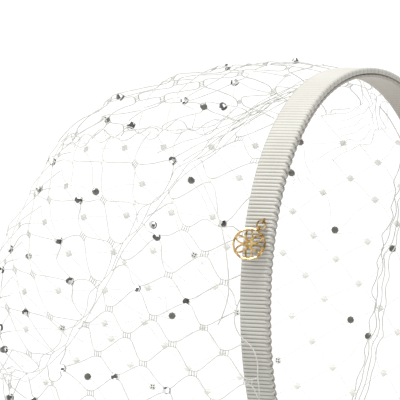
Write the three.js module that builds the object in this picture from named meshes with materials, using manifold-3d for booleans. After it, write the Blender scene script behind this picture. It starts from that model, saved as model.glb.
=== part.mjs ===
// A birdcage veil: a narrow ribbon-covered headband with a puffed voilette of diamond netting.
// Millimetres, +Z up. The wearer faces -Y and the wearer's left side is +X.
// The origin is the inside of the band at the middle of its top.
import * as THREE from 'three';
import { mergeVertices } from 'three/addons/utils/BufferGeometryUtils.js';
import Module from 'manifold-3d';

const wasm = await Module();
wasm.setup();

// Headband, measured over the outer ribbon
const BAND_HALF_WIDTH = 69;
const BAND_RISE = 84;
const BAND_FALL = 82.6;
const BAND_POWER = 2.13;
const ARM_TURN = 132;
const BAND_STEPS = 44;
const RIBBON_WIDTH_TOP = 11.6;
const RIBBON_WIDTH_TIP = 9.5;
const RIBBON_WALL = 1;
const CORE_WALL = 0.8;
const CORE_INSET = 0.8;
const FIT = 0.3;

// Veil
const VEIL_WALL = 1.2;
const VEIL_HALF_WIDTH = 70.8;
const VEIL_REACH = 142;
const VEIL_POWER = 2.13;
const VEIL_REAR_DROP = 123;
const VEIL_FRONT_DROP = 138;
const HALF_ROUND = 165;
const REAR_BOW = 4;
const REAR_TUCK = 6;
const REAR_FADE = 12;
const ROUND_EVENING = 0.32;
const CREASE_DEPTH = 3.2;
const CREASE_FADE = 15;
const CREASE_ROLL = 2.3;
const NET_BAR = 3.6;
const EDGE_BAR = 3.1;
const SIDE_CELL = { across: 30, down: 24.6 };
const CROWN_CELL = { across: 28, down: 27 };
const SMALLEST_GAP = 0.5;
const STONE_SEAT = 2.2;
const SMALLEST_EDGE = 0.06;
const FLAT_ANGLE = 0.001;

// Stones and charm
const STONE_WIDTH = 2.7;
const STONE_HEIGHT = 1.5;
const STONE_TABLE = 1.6;
const STONE_GIRDLE = 0.45;
const CHARM_RADIUS = 5.7;
const CHARM_WIRE = 0.72;
const CHARM_PLATE = 0.6;
const PETAL_COUNT = 6;
const PETAL_LENGTH = 4.4;
const PETAL_WIDTH = 2.7;
const PETAL_BAR = 0.5;
const PETAL_START = 0.9;
const HUB_RADIUS = 1.25;
const HUB_BORE = 0.5;
const RING_WIRE = 0.56;
const JUMP_RING_RADIUS = 1.5;
const LOOP_RADIUS = 0.85;
const LOOP_DROP = 46;
const LOOP_BACK = 2.6;
const CHARM_TILT = 20;
const CHARM_LEAN = 12;
const CHARM_TWIST = 20;

// How far the veil's middle line lies from the band's widest level, seen from the side:
// turn in degrees from straight up, out as the share of the way from the crown to the full reach.
const PROFILE = [
  { turn: 0, out: 0 },
  { turn: 24, out: 0.17 },
  { turn: 42, out: 0.39 },
  { turn: 55, out: 0.62 },
  { turn: 73, out: 0.78 },
  { turn: 82, out: 0.92 },
  { turn: 92, out: 1 },
  { turn: 109, out: 1 },
  { turn: 124, out: 1.03 },
  { turn: 150, out: 1.39 },
  { turn: 180, out: 1.8 },
];

// The main crease: forward as a share of the veil's reach at that height, drop as a share of the band's rise.
const CREASE = [
  { forward: 0, drop: 0.07 },
  { forward: 0.1, drop: 0.17 },
  { forward: 0.18, drop: 0.31 },
  { forward: 0.27, drop: 0.43 },
  { forward: 0.37, drop: 0.7 },
  { forward: 0.48, drop: 1.02 },
  { forward: 0.65, drop: 1.24 },
  { forward: 0.8, drop: 1.31 },
  { forward: 1, drop: 1.33 },
];

// Stones: side is 1 near the charm and -1 opposite, ahead is a share of the veil's reach,
// drop is a share of the band's rise.
const STONES = [
  { side: 1, ahead: 0.54, drop: 0.13 },
  { side: 1, ahead: 0.41, drop: 0.23 },
  { side: 1, ahead: 0.28, drop: 0.13 },
  { side: 1, ahead: 0.17, drop: 0.06 },
  { side: 1, ahead: 0.15, drop: 0.15 },
  { side: 1, ahead: 0.23, drop: 0.36 },
  { side: 1, ahead: 0.68, drop: 0.39 },
  { side: 1, ahead: 0.79, drop: 0.76 },
  { side: 1, ahead: 0.51, drop: 0.53 },
  { side: 1, ahead: 0.57, drop: 0.7 },
  { side: 1, ahead: 0.26, drop: 0.61 },
  { side: 1, ahead: 0.24, drop: 0.66 },
  { side: 1, ahead: 0.06, drop: 0.6 },
  { side: 1, ahead: 0.82, drop: 0.85 },
  { side: 1, ahead: 0.51, drop: 0.86 },
  { side: 1, ahead: 0.29, drop: 0.87 },
  { side: 1, ahead: 0.81, drop: 1.09 },
  { side: 1, ahead: 0.79, drop: 1.18 },
  { side: 1, ahead: 0.56, drop: 1.23 },
  { side: 1, ahead: 0.2, drop: 1.28 },
  { side: 1, ahead: 0.82, drop: 1.4 },
  { side: -1, ahead: 0.64, drop: 0.53 },
  { side: -1, ahead: 0.73, drop: 1.14 },
  { side: -1, ahead: 0.9, drop: 1.4 },
  { side: -1, ahead: 0.83, drop: 0.57 },
  { side: -1, ahead: 0.29, drop: 0.75 },
  { side: -1, ahead: 0.26, drop: 1.15 },
  { side: -1, ahead: 0.34, drop: 0.36 },
  { side: -1, ahead: 0.39, drop: 0.5 },
  { side: -1, ahead: 0.13, drop: 0.83 },
  { side: -1, ahead: 0.21, drop: 1.22 },
  { side: -1, ahead: 0.54, drop: 0.2 },
];

const BAND_WALL = 2 * RIBBON_WALL + CORE_WALL + 2 * FIT;
const CROWN_TOP = BAND_WALL;
const WIDEST_Z = CROWN_TOP - BAND_RISE;
const VEIL_BACK = -(RIBBON_WIDTH_TOP / 2 + FIT);
const CROWN_RADIUS = BAND_RISE - BAND_WALL / 2;
const MEAN_RADIUS = (CROWN_RADIUS + VEIL_REACH) / 2;
const BAIL_HEIGHT = CHARM_RADIUS + LOOP_RADIUS - RING_WIRE / 2;
const TIP_Z = WIDEST_Z + BAND_FALL * Math.cos(THREE.MathUtils.degToRad(ARM_TURN));

const IVORY = { color: 0xe8e4d8, roughness: 0.85, metalness: 0 };
const TAUPE = { color: 0xbeb2a6, roughness: 0.85, metalness: 0 };
const STEEL = { color: 0x9a9a98, roughness: 0.4, metalness: 1 };
const GOLD = { color: 0xd4a546, roughness: 0.25, metalness: 1 };
const THREAD = { color: 0xe1e0d7, roughness: 0.8, metalness: 0 };
const CRYSTAL = { color: 0xe9edf2, roughness: 0.05, metalness: 0.1 };

function namedMesh(name, geometry, look) {
  const mesh = new THREE.Mesh(geometry, new THREE.MeshStandardMaterial(look));
  mesh.name = name;
  return mesh;
}

// Smooth value of one column of a table at a place in its first column.
function smoothColumn(rows, place, column, at) {
  const last = rows.length - 1;
  let i = 0;
  while (i < last - 1 && at > rows[i + 1][place]) i += 1;
  const slope = (k) => {
    const a = rows[Math.max(k - 1, 0)];
    const b = rows[Math.min(k + 1, last)];
    return (b[column] - a[column]) / (b[place] - a[place]);
  };
  const width = rows[i + 1][place] - rows[i][place];
  const t = THREE.MathUtils.clamp((at - rows[i][place]) / width, 0, 1);
  const t2 = t * t;
  const t3 = t2 * t;
  return (2 * t3 - 3 * t2 + 1) * rows[i][column] + (t3 - 2 * t2 + t) * width * slope(i)
    + (3 * t2 - 2 * t3) * rows[i + 1][column] + (t3 - t2) * width * slope(i + 1);
}

// The place between low and high where a rising function reaches the target.
function solve(rising, target, low, high) {
  let [a, b] = [low, high];
  for (let k = 0; k < 40; k += 1) {
    const middle = (a + b) / 2;
    if (rising(middle) < target) a = middle;
    else b = middle;
  }
  return (a + b) / 2;
}

function toSolid(geometry) {
  const bare = geometry.index ? geometry.toNonIndexed() : geometry.clone();
  bare.deleteAttribute('normal');
  bare.deleteAttribute('uv');
  const merged = mergeVertices(bare, 1e-4);
  const mesh = new wasm.Mesh({
    numProp: 3,
    vertProperties: new Float32Array(merged.attributes.position.array),
    triVerts: new Uint32Array(merged.index.array),
  });
  return new wasm.Manifold(mesh);
}

function fromSolid(solid) {
  const mesh = solid.simplify(SMALLEST_EDGE).getMesh();
  const geometry = new THREE.BufferGeometry();
  geometry.setAttribute('position', new THREE.BufferAttribute(mesh.vertProperties, 3));
  geometry.setIndex(new THREE.BufferAttribute(mesh.triVerts, 1));
  return geometry;
}

// Headband

// A point of the arch, a set depth inside its outer face, in the band's own plane.
function archPoint(turn, depth) {
  const outer = (t) => {
    const s = Math.sin(t);
    const c = Math.cos(t);
    if (c < 0) return new THREE.Vector2(BAND_HALF_WIDTH * s, WIDEST_Z + BAND_FALL * c);
    const x = Math.sign(s) * BAND_HALF_WIDTH * Math.abs(s) ** (2 / BAND_POWER);
    return new THREE.Vector2(x, WIDEST_Z + BAND_RISE * c ** (2 / BAND_POWER));
  };
  const probe = 0.002;
  const along = outer(turn + probe).sub(outer(turn - probe)).normalize();
  return outer(turn).add(new THREE.Vector2(-along.y, along.x).multiplyScalar(-depth));
}

function ribbonWidth(z) {
  const share = THREE.MathUtils.clamp((CROWN_TOP - z) / (CROWN_TOP - TIP_Z), 0, 1);
  return THREE.MathUtils.lerp(RIBBON_WIDTH_TOP, RIBBON_WIDTH_TIP, share);
}

// One layer of the band, between two depths inside its outer face, narrower by inset at each edge.
function bandLayer(name, outerDepth, innerDepth, inset, look) {
  const limit = THREE.MathUtils.degToRad(ARM_TURN);
  const turns = Array.from({ length: BAND_STEPS + 1 }, (_, i) => limit * (2 * i / BAND_STEPS - 1));
  const outline = turns.map((t) => archPoint(t, outerDepth));
  outline.push(...turns.reverse().map((t) => archPoint(t, innerDepth)));
  const geometry = new THREE.ExtrudeGeometry(new THREE.Shape(outline), { depth: 1, bevelEnabled: false });
  geometry.rotateX(Math.PI / 2);
  const points = geometry.attributes.position;
  for (let i = 0; i < points.count; i += 1) {
    const width = ribbonWidth(points.getZ(i)) - 2 * inset;
    points.setY(i, (points.getY(i) + 0.5) * width);
  }
  return namedMesh(name, geometry, look);
}

const coreDepth = RIBBON_WALL + FIT;
const liningDepth = coreDepth + CORE_WALL + FIT;
const band = new THREE.Group();
band.add(
  bandLayer('ribbon_outer', 0, RIBBON_WALL, 0, IVORY),
  bandLayer('headband_core', coreDepth, coreDepth + CORE_WALL, CORE_INSET, STEEL),
  bandLayer('ribbon_lining', liningDepth, liningDepth + RIBBON_WALL, 0, TAUPE),
);

// The veil's smooth form: a deep half dome whose back edge is the band's arch

function profileRadius(turn) {
  const out = smoothColumn(PROFILE, 'turn', 'out', THREE.MathUtils.clamp(turn, 0, 180));
  return THREE.MathUtils.lerp(CROWN_RADIUS, VEIL_REACH, out);
}

function sideTurn(forward, up) {
  return THREE.MathUtils.radToDeg(Math.atan2(Math.abs(forward), up));
}

// Half the veil's width at a place seen from the side.
function veilHalfWidth(forward, z) {
  const up = z - WIDEST_Z;
  const share = Math.min(Math.hypot(forward, up) / profileRadius(sideTurn(forward, up)), 1);
  return VEIL_HALF_WIDTH * (1 - share ** VEIL_POWER) ** (1 / VEIL_POWER);
}

// How far the middle line reaches forward at a height.
function frontReach(z) {
  const up = z - WIDEST_Z;
  const over = (forward) => Math.hypot(forward, up) - profileRadius(sideTurn(forward, up));
  return solve(over, 0, 0, 2 * VEIL_REACH);
}

// The angle round from the middle line at a share of the way to the back, evened out in length.
function aroundAngle(share) {
  return (Math.PI / 2) * (share + (ROUND_EVENING / Math.PI) * Math.sin(Math.PI * share));
}

// The crease as a list of places seen from the side, from the gather to the middle of the front.
const creaseLine = [];
const CREASE_STEPS = 22;
for (let i = 0; i <= CREASE_STEPS; i += 1) {
  const row = (i / CREASE_STEPS) * (CREASE.length - 1);
  const rows = CREASE.map((entry, at) => ({ ...entry, at }));
  const z = CROWN_TOP - BAND_RISE * smoothColumn(rows, 'at', 'drop', row);
  creaseLine.push({ forward: frontReach(z) * smoothColumn(rows, 'at', 'forward', row), z });
}

// How far a place lies under the crease, straight down.
function underCrease(forward, z) {
  const last = creaseLine.length - 1;
  let i = 0;
  while (i < last - 1 && forward > creaseLine[i + 1].forward) i += 1;
  const [a, b] = [creaseLine[i], creaseLine[i + 1]];
  const t = THREE.MathUtils.clamp((forward - a.forward) / (b.forward - a.forward), 0, 1);
  return a.z + (b.z - a.z) * t - z;
}

// A place on the dome, moved straight in from it by a set depth.
function domePoint(side, forward, z, inward) {
  const x = veilHalfWidth(forward, z);
  const probe = 0.5;
  const ahead = veilHalfWidth(forward + probe, z) - x;
  const above = veilHalfWidth(forward, z + probe) - x;
  const normal = x < 1
    ? new THREE.Vector3(0, -forward, z - WIDEST_Z)
    : new THREE.Vector3(side * probe, ahead, -above);
  const point = new THREE.Vector3(side * x, VEIL_BACK - forward, z);
  return point.addScaledVector(normal.normalize(), -inward);
}

// The crown sheet is laid out flat as (across from the middle line, back along the profile).
function crownPoint(across, back, inward) {
  const turn = -back / MEAN_RADIUS;
  const around = aroundAngle(Math.abs(across) / HALF_ROUND);
  const radius = profileRadius(THREE.MathUtils.radToDeg(turn)) * Math.cos(around);
  const up = radius * Math.cos(turn);
  return domePoint(Math.sign(across), radius * Math.sin(turn), WIDEST_Z + up, inward);
}

function crownPlace(side, forward, z) {
  const up = z - WIDEST_Z;
  const turn = sideTurn(forward, up);
  const around = Math.acos(Math.min(Math.hypot(forward, up) / profileRadius(turn), 1));
  const across = HALF_ROUND * solve(aroundAngle, around, 0, 1);
  return new THREE.Vector2(side * across, -THREE.MathUtils.degToRad(turn) * MEAN_RADIUS);
}

// The lower sheet is laid out flat as (around from the middle of the front, height).
// It is sunk under the crease, and over the widest level its rear edge is tucked in behind the arm's face.
function lowerPoint(around, z, inward) {
  const forward = frontReach(z) * Math.cos(aroundAngle(Math.abs(around) / HALF_ROUND));
  const sunk = CREASE_DEPTH * Math.exp(-Math.max(underCrease(forward, z), 0) / CREASE_FADE);
  const height = THREE.MathUtils.smoothstep(z, WIDEST_Z, WIDEST_Z + REAR_FADE);
  const tucked = REAR_TUCK * height * Math.exp(-Math.max(forward, 0) / REAR_FADE);
  const point = domePoint(Math.sign(around), forward, z, inward + sunk);
  point.x -= Math.sign(around) * tucked;
  return point;
}

function lowerPlace(side, forward, z) {
  const around = Math.acos(THREE.MathUtils.clamp(forward / frontReach(z), -1, 1));
  return new THREE.Vector2(side * HALF_ROUND * solve(aroundAngle, around, 0, 2), z);
}

// Veil sheets: a flat outline pierced by diamond gaps, then wrapped onto the dome

function mirrored(places) {
  return places.map((p) => new THREE.Vector2(-p.x, p.y)).reverse();
}

function inside(outline, p) {
  let odd = false;
  outline.forEach((a, i) => {
    const b = outline[(i + 1) % outline.length];
    const crosses = a.y > p.y !== b.y > p.y;
    if (crosses && p.x < a.x + ((b.x - a.x) * (p.y - a.y)) / (b.y - a.y)) odd = !odd;
  });
  return odd;
}

function edgeDistance(outline, p) {
  return Math.min(...outline.map((a, i) => {
    const edge = outline[(i + 1) % outline.length].clone().sub(a);
    const t = THREE.MathUtils.clamp(p.clone().sub(a).dot(edge) / edge.lengthSq(), 0, 1);
    return p.distanceTo(a.clone().addScaledVector(edge, t));
  }));
}

// What is left of a gap on one side of a line of constant x.
function cutAt(gap, limit, sign) {
  const kept = [];
  gap.forEach((a, i) => {
    const b = gap[(i + 1) % gap.length];
    const inA = sign * (a.x - limit) >= 0;
    const inB = sign * (b.x - limit) >= 0;
    if (inA) kept.push(a);
    if (inA !== inB) kept.push(a.clone().lerp(b, (limit - a.x) / (b.x - a.x)));
  });
  return kept;
}

// The diamond gaps that fit inside an outline. A gap with a stone in it is parted by the thread under the stone.
function diamondGaps(outline, cell, stonePlaces) {
  const side = Math.hypot(cell.across, cell.down) / 2;
  const pitch = (cell.across * cell.down) / (2 * side);
  const shrink = 1 - NET_BAR / pitch;
  const [halfAcross, halfDown] = [(cell.across * shrink) / 2, (cell.down * shrink) / 2];
  const smallest = 2 * halfAcross * halfDown * SMALLEST_GAP;
  const corners = [[1, 0], [0, 1], [-1, 0], [0, -1]].map(([u, v]) => new THREE.Vector2(u * halfAcross, v * halfDown));
  const rays = corners.flatMap((c, i) => [c, c.clone().lerp(corners[(i + 1) % 4], 0.5)]);
  const clear = (p) => inside(outline, p) && edgeDistance(outline, p) > EDGE_BAR;
  const box = new THREE.Box2().setFromPoints(outline);
  const columns = Math.ceil(box.max.x / (cell.across / 2));
  const gaps = [];
  for (let i = -columns; i <= columns; i += 1) {
    const lowRow = Math.floor(box.min.y / (cell.down / 2));
    const highRow = Math.ceil(box.max.y / (cell.down / 2));
    for (let j = lowRow; j <= highRow; j += 1) {
      const centre = new THREE.Vector2((i * cell.across) / 2, (j * cell.down) / 2);
      if ((i + j) % 2 !== 0 || !clear(centre)) continue;
      const reach = (ray) => solve((t) => (clear(centre.clone().addScaledVector(ray, t)) ? 0 : 1), 0.5, 0, 1);
      let pieces = [rays.map((ray) => centre.clone().addScaledVector(ray, reach(ray)))];
      for (const stone of stonePlaces) {
        pieces = pieces.flatMap((gap) => (inside(gap, stone)
          ? [cutAt(gap, stone.x + STONE_SEAT / 2, 1), cutAt(gap, stone.x - STONE_SEAT / 2, -1)]
          : [gap]));
      }
      gaps.push(...pieces.filter((gap) => gap.length > 2 && Math.abs(THREE.ShapeUtils.area(gap)) > smallest));
    }
  }
  return gaps;
}

// The third corner of a face that runs from a to b, if it does.
function thirdCorner(face, a, b) {
  const k = face.indexOf(a);
  return k >= 0 && face[(k + 1) % 3] === b ? face[(k + 2) % 3] : undefined;
}

// Swaps the shared edge of two faces wherever the other diagonal gives stouter ones.
function evenFaces(places, faces) {
  const spread = (apex, a, b) => {
    const [u, v] = [places[a].clone().sub(places[apex]), places[b].clone().sub(places[apex])];
    return Math.atan2(Math.abs(u.cross(v)), u.dot(v));
  };
  for (let changed = true; changed;) {
    changed = false;
    const owner = new Map();
    faces.forEach((face, f) => face.forEach((a, k) => owner.set(`${a},${face[(k + 1) % 3]}`, f)));
    for (const [edge, f] of owner) {
      const [a, b] = edge.split(',').map(Number);
      const g = owner.get(`${b},${a}`);
      if (g === undefined) continue;
      const c = thirdCorner(faces[f], a, b);
      const d = thirdCorner(faces[g], b, a);
      if (c === undefined || d === undefined) continue;
      if (spread(c, a, b) + spread(d, a, b) < Math.PI + FLAT_ANGLE) continue;
      faces[f] = [a, d, c];
      faces[g] = [d, b, c];
      changed = true;
    }
  }
}

function wrappedSheet(outline, gaps, wrap) {
  const turned = (loop, ahead) => ((THREE.ShapeUtils.area(loop) > 0) === ahead ? loop : loop.slice().reverse());
  const loops = [turned(outline, true), ...gaps.map((gap) => turned(gap, false))];
  const places = loops.flat();
  const faces = THREE.ShapeUtils.triangulateShape(loops[0], loops.slice(1));
  evenFaces(places, faces);
  const under = places.length;
  const corners = faces.flatMap(([a, b, c]) => [a, b, c, under + a, under + c, under + b]);
  let first = 0;
  for (const loop of loops) {
    loop.forEach((_, i) => {
      const [a, b] = [first + i, first + ((i + 1) % loop.length)];
      corners.push(a, under + a, under + b, a, under + b, b);
    });
    first += loop.length;
  }
  const points = [-0.5, 0.5].flatMap((share) => places.map(({ x, y }) => wrap(x, y, share * VEIL_WALL)));
  const geometry = new THREE.BufferGeometry().setFromPoints(points);
  geometry.setIndex(corners);
  return toSolid(geometry);
}

const stoneSites = STONES.map(({ side, ahead, drop }) => {
  const forward = ahead * VEIL_REACH;
  const z = CROWN_TOP - drop * BAND_RISE;
  const isLower = underCrease(forward, z) > 0;
  const place = isLower ? lowerPlace(side, forward, z) : crownPlace(side, forward, z);
  return { isLower, place };
});

const CROWN_EDGE_STEPS = 3;
const REAR_EDGE_STEPS = 10;
const HEM_STEPS = 12;
const shares = (steps) => Array.from({ length: steps }, (_, i) => (i + 1) / steps);
const gather = creaseLine[0];
const crownCrease = creaseLine.map(({ forward, z }) => crownPlace(1, forward, z));
const crownBack = shares(CROWN_EDGE_STEPS).map((t) => new THREE.Vector2(-crownCrease[0].x * (1 - t), 0));
const crownHalf = [...crownCrease.slice(0, -1), crownCrease.at(-1).setX(0), ...mirrored(crownCrease.slice(0, -1))];
const crownOutline = [...crownHalf, ...crownBack, ...mirrored(crownBack.slice(0, -1))];
const crownStones = stoneSites.filter((site) => !site.isLower).map((site) => site.place);
const crownGaps = diamondGaps(crownOutline, CROWN_CELL, crownStones);

// The rear edge runs down in front of the arm, bowed a little forward at the middle of its height.
const rearEdge = shares(REAR_EDGE_STEPS).map((t) => {
  const forward = REAR_BOW * Math.sin(Math.PI * t);
  return lowerPlace(1, forward, THREE.MathUtils.lerp(gather.z, -VEIL_REAR_DROP, t));
});
const hem = shares(HEM_STEPS).map((t) => {
  const around = rearEdge.at(-1).x * (1 - t);
  const ease = Math.sin((Math.PI / 2) * t);
  return new THREE.Vector2(around, -THREE.MathUtils.lerp(VEIL_REAR_DROP, VEIL_FRONT_DROP, ease));
});
const lowerCrease = creaseLine.map(({ forward, z }) => lowerPlace(1, forward, z));
const lowerHalf = [lowerCrease.at(-1).setX(0), ...lowerCrease.slice(0, -1).reverse(), ...rearEdge, ...hem];
const lowerOutline = [...lowerHalf, ...mirrored(lowerHalf.slice(1, -1))];
const lowerStones = stoneSites.filter((site) => site.isLower).map((site) => site.place);
const lowerGaps = diamondGaps(lowerOutline, SIDE_CELL, lowerStones);

function creaseRoll() {
  const nearHalf = creaseLine.map(({ forward, z }) => (
    domePoint(1, Math.max(forward, CREASE_ROLL + FIT), z, CREASE_DEPTH / 2)));
  const middle = nearHalf.at(-1).setX(0);
  const farHalf = nearHalf.slice(0, -1).map((p) => p.clone().setX(-p.x)).reverse();
  const path = new THREE.CatmullRomCurve3([...nearHalf.slice(0, -1), middle, ...farHalf]);
  const section = new THREE.Shape();
  for (let k = 0; k < 6; k += 1) {
    const angle = (k * Math.PI) / 3;
    const corner = [CREASE_ROLL * Math.cos(angle), CREASE_ROLL * Math.sin(angle)];
    if (k === 0) section.moveTo(...corner);
    else section.lineTo(...corner);
  }
  return toSolid(new THREE.ExtrudeGeometry(section, { steps: 2 * CREASE_STEPS, extrudePath: path }));
}

const netSolid = wrappedSheet(crownOutline, crownGaps, crownPoint)
  .add(wrappedSheet(lowerOutline, lowerGaps, lowerPoint))
  .add(creaseRoll());
const veil = new THREE.Group();
veil.add(namedMesh('veil_net', fromSolid(netSolid), THREAD));

// Stones: a table, eight crown facets, a thin girdle and a flat back

function stoneGeometry() {
  const girdle = STONE_WIDTH / 2;
  const profile = [
    [0, 0],
    [girdle, 0],
    [girdle, STONE_GIRDLE],
    [STONE_TABLE / 2, STONE_HEIGHT],
    [0, STONE_HEIGHT],
  ].map(([x, y]) => new THREE.Vector2(x, y));
  return new THREE.LatheGeometry(profile, 8).rotateX(Math.PI / 2);
}

stoneSites.forEach(({ isLower, place }, i) => {
  const wrap = isLower ? lowerPoint : crownPoint;
  const seat = wrap(place.x, place.y, -(VEIL_WALL / 2 + FIT));
  const outward = seat.clone().sub(wrap(place.x, place.y, 0)).normalize();
  const stone = namedMesh(`stone_${String(i + 1).padStart(2, '0')}`, stoneGeometry(), CRYSTAL);
  stone.position.copy(seat);
  stone.quaternion.setFromUnitVectors(new THREE.Vector3(0, 0, 1), outward);
  veil.add(stone);
});

// Charm: a pierced rosette in a round rim, hung by a jump ring from a loop sewn to the ribbon

// A flat oval ring with its middle at a place on local X, as thick as the charm's openwork.
function ovalRing(middle, halfLength, halfWidth, bar) {
  const oval = new THREE.Shape();
  oval.absellipse(middle, 0, halfLength, halfWidth, 0, Math.PI * 2, false, 0);
  const opening = new THREE.Path();
  opening.absellipse(middle, 0, halfLength - bar, halfWidth - bar, 0, Math.PI * 2, false, 0);
  oval.holes.push(opening);
  const ring = new THREE.ExtrudeGeometry(oval, { depth: CHARM_PLATE, bevelEnabled: false, curveSegments: 12 });
  return ring.translate(0, 0, -CHARM_PLATE / 2);
}

function charmGeometry() {
  const rim = new THREE.TorusGeometry(CHARM_RADIUS - CHARM_WIRE / 2, CHARM_WIRE / 2, 8, 24);
  const bail = loopGeometry(LOOP_RADIUS).translate(0, BAIL_HEIGHT, 0);
  const hub = ovalRing(0, HUB_RADIUS, HUB_RADIUS, HUB_RADIUS - HUB_BORE);
  let whole = toSolid(rim).add(toSolid(bail)).add(toSolid(hub));
  for (let k = 0; k < PETAL_COUNT; k += 1) {
    const petal = ovalRing(PETAL_START + PETAL_LENGTH / 2, PETAL_LENGTH / 2, PETAL_WIDTH / 2, PETAL_BAR);
    whole = whole.add(toSolid(petal.rotateZ((2 * Math.PI * k) / PETAL_COUNT)));
  }
  return fromSolid(whole);
}

// A small ring standing on edge, with its bore along X.
function loopGeometry(radius) {
  return new THREE.TorusGeometry(radius, RING_WIRE / 2, 6, 14).rotateY(Math.PI / 2);
}

const charmSet = new THREE.Group();
const sewnLoop = namedMesh('sewn_loop', loopGeometry(LOOP_RADIUS), GOLD);
const jumpRing = namedMesh('jump_ring', new THREE.TorusGeometry(JUMP_RING_RADIUS, RING_WIRE / 2, 6, 16), GOLD);
const charm = namedMesh('charm', charmGeometry(), GOLD);
jumpRing.position.set(0, -JUMP_RING_RADIUS, 0);
charm.position.set(0, -2 * JUMP_RING_RADIUS - BAIL_HEIGHT, 0);
charmSet.add(sewnLoop, jumpRing, charm);

const loopTurn = solve((t) => -archPoint(t, 0).y, LOOP_DROP, 0, Math.PI / 2);
const loopOffset = LOOP_RADIUS + RING_WIRE / 2 + FIT;
const loopPlace = archPoint(loopTurn, -loopOffset);
const outwardFlat = loopPlace.clone().sub(archPoint(loopTurn, 0)).normalize();
const outward = new THREE.Vector3(outwardFlat.x, 0, outwardFlat.y);
const upFace = new THREE.Vector3(-outward.z, 0, outward.x);
const hang = THREE.MathUtils.degToRad(CHARM_TILT);
const hangUp = upFace.multiplyScalar(Math.cos(hang)).add(new THREE.Vector3(0, Math.sin(hang), 0));
const across = hangUp.clone().cross(outward);
charmSet.quaternion.setFromRotationMatrix(new THREE.Matrix4().makeBasis(across, hangUp, outward));
charmSet.rotateX(-THREE.MathUtils.degToRad(CHARM_LEAN));
charmSet.rotateY(THREE.MathUtils.degToRad(CHARM_TWIST));
charmSet.position.set(loopPlace.x, LOOP_BACK, loopPlace.y);

const birdcageVeil = new THREE.Group();
birdcageVeil.add(band, veil, charmSet);
export default birdcageVeil;
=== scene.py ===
"""A birdcage veil: a ribbon-covered headband with a puffed voilette of diamond netting, stones on its knots
and a pierced gold charm. Sizes are in millimetres here and become metres when a piece is made."""

import math

import bpy
import numpy as np
from mathutils import Matrix, Vector


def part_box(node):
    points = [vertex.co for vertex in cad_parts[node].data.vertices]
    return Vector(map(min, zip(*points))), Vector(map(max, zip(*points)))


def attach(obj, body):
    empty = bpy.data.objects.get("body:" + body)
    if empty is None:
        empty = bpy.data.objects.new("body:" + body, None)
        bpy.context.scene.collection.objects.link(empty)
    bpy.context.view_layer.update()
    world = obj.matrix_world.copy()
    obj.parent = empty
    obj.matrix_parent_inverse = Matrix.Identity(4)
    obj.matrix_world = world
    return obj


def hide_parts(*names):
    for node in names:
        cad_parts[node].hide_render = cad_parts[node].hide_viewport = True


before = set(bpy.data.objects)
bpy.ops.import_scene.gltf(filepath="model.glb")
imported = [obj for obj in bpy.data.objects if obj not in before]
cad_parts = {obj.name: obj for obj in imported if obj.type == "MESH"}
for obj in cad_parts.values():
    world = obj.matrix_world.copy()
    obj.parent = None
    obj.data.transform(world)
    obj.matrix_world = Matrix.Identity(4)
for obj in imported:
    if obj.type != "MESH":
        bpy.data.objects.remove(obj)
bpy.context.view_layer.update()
rng = np.random.default_rng(11)
MM = 0.001
TINY, SMALL = 1e-12, 1e-9
HALVINGS = 40

# Headband, as in the part
BAND_HALF_WIDTH, BAND_RISE, BAND_FALL, BAND_POWER = 69.0, 84.0, 82.6, 2.13
ARM_TURN = math.radians(132.0)
RIBBON_WIDTH_TOP, RIBBON_WIDTH_TIP = 11.6, 9.5
RIBBON_WALL, CORE_WALL, FIT = 1.0, 0.8, 0.3
LINING_DEPTH = RIBBON_WALL + CORE_WALL + 2 * FIT
BAND_WALL = 2 * RIBBON_WALL + CORE_WALL + 2 * FIT
WIDEST_Z = BAND_WALL - BAND_RISE
TIP_Z = WIDEST_Z + BAND_FALL * math.cos(ARM_TURN)

# Veil, as in the part
HALF_WIDTH, REACH, POWER = 70.8, 142.0, 2.13
REAR_DROP, FRONT_DROP = 123.0, 138.0
VEIL_BACK = -(RIBBON_WIDTH_TOP / 2 + FIT)
CROWN_RADIUS = BAND_RISE - BAND_WALL / 2
# Side view of the dome: degrees from straight up, and the share of the way from crown radius to reach
TURNS = np.array([0, 24, 42, 55, 73, 82, 92, 109, 124, 150, 180.0])
OUTS = np.array([0, 0.17, 0.39, 0.62, 0.78, 0.92, 1, 1, 1.03, 1.39, 1.8])
# Near crease, from the band to the front: shares of the front's reach and of the band's rise
CREASE_FORWARD = np.array([0, 0.1, 0.18, 0.27, 0.37, 0.48, 0.65, 0.8, 1])
CREASE_DROP = np.array([0.07, 0.17, 0.31, 0.43, 0.7, 1.02, 1.24, 1.31, 1.33])
# Far crease, and the fold above both creases: forward of the band, and height
FAR_F = np.array([0, 5, 10, 20, 29, 42, 56, 75, 95, 115, 143.0])
FAR_Z = np.array([-2.5, -13, -21, -26, -29, -36, -44, -58, -76, -94, -108.5])
FOLD_F = np.array([0, 10, 27, 48, 83, 110, 140.0])
FOLD_Z = np.array([-2, -10.5, -15.5, -17.2, -20.9, -24, -26.0])
CREASE_BLEND = 24       # width over which the near crease becomes the far one
CREASE_SIDE = 30.0      # any place beyond that blend
# The net is pressed in under the crease and tucked in beside each arm
SINK, SINK_FADE = 3.2, 15.0
TUCK, FAR_TUCK, TUCK_FADE = 6.0, 8.0, 12.0
# Rear edge: over the arm's outer face below, in front of the arm above
REAR_EDGE_Z, REAR_EDGE_F = [-90, -82], [-8.6, 0.5]

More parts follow.
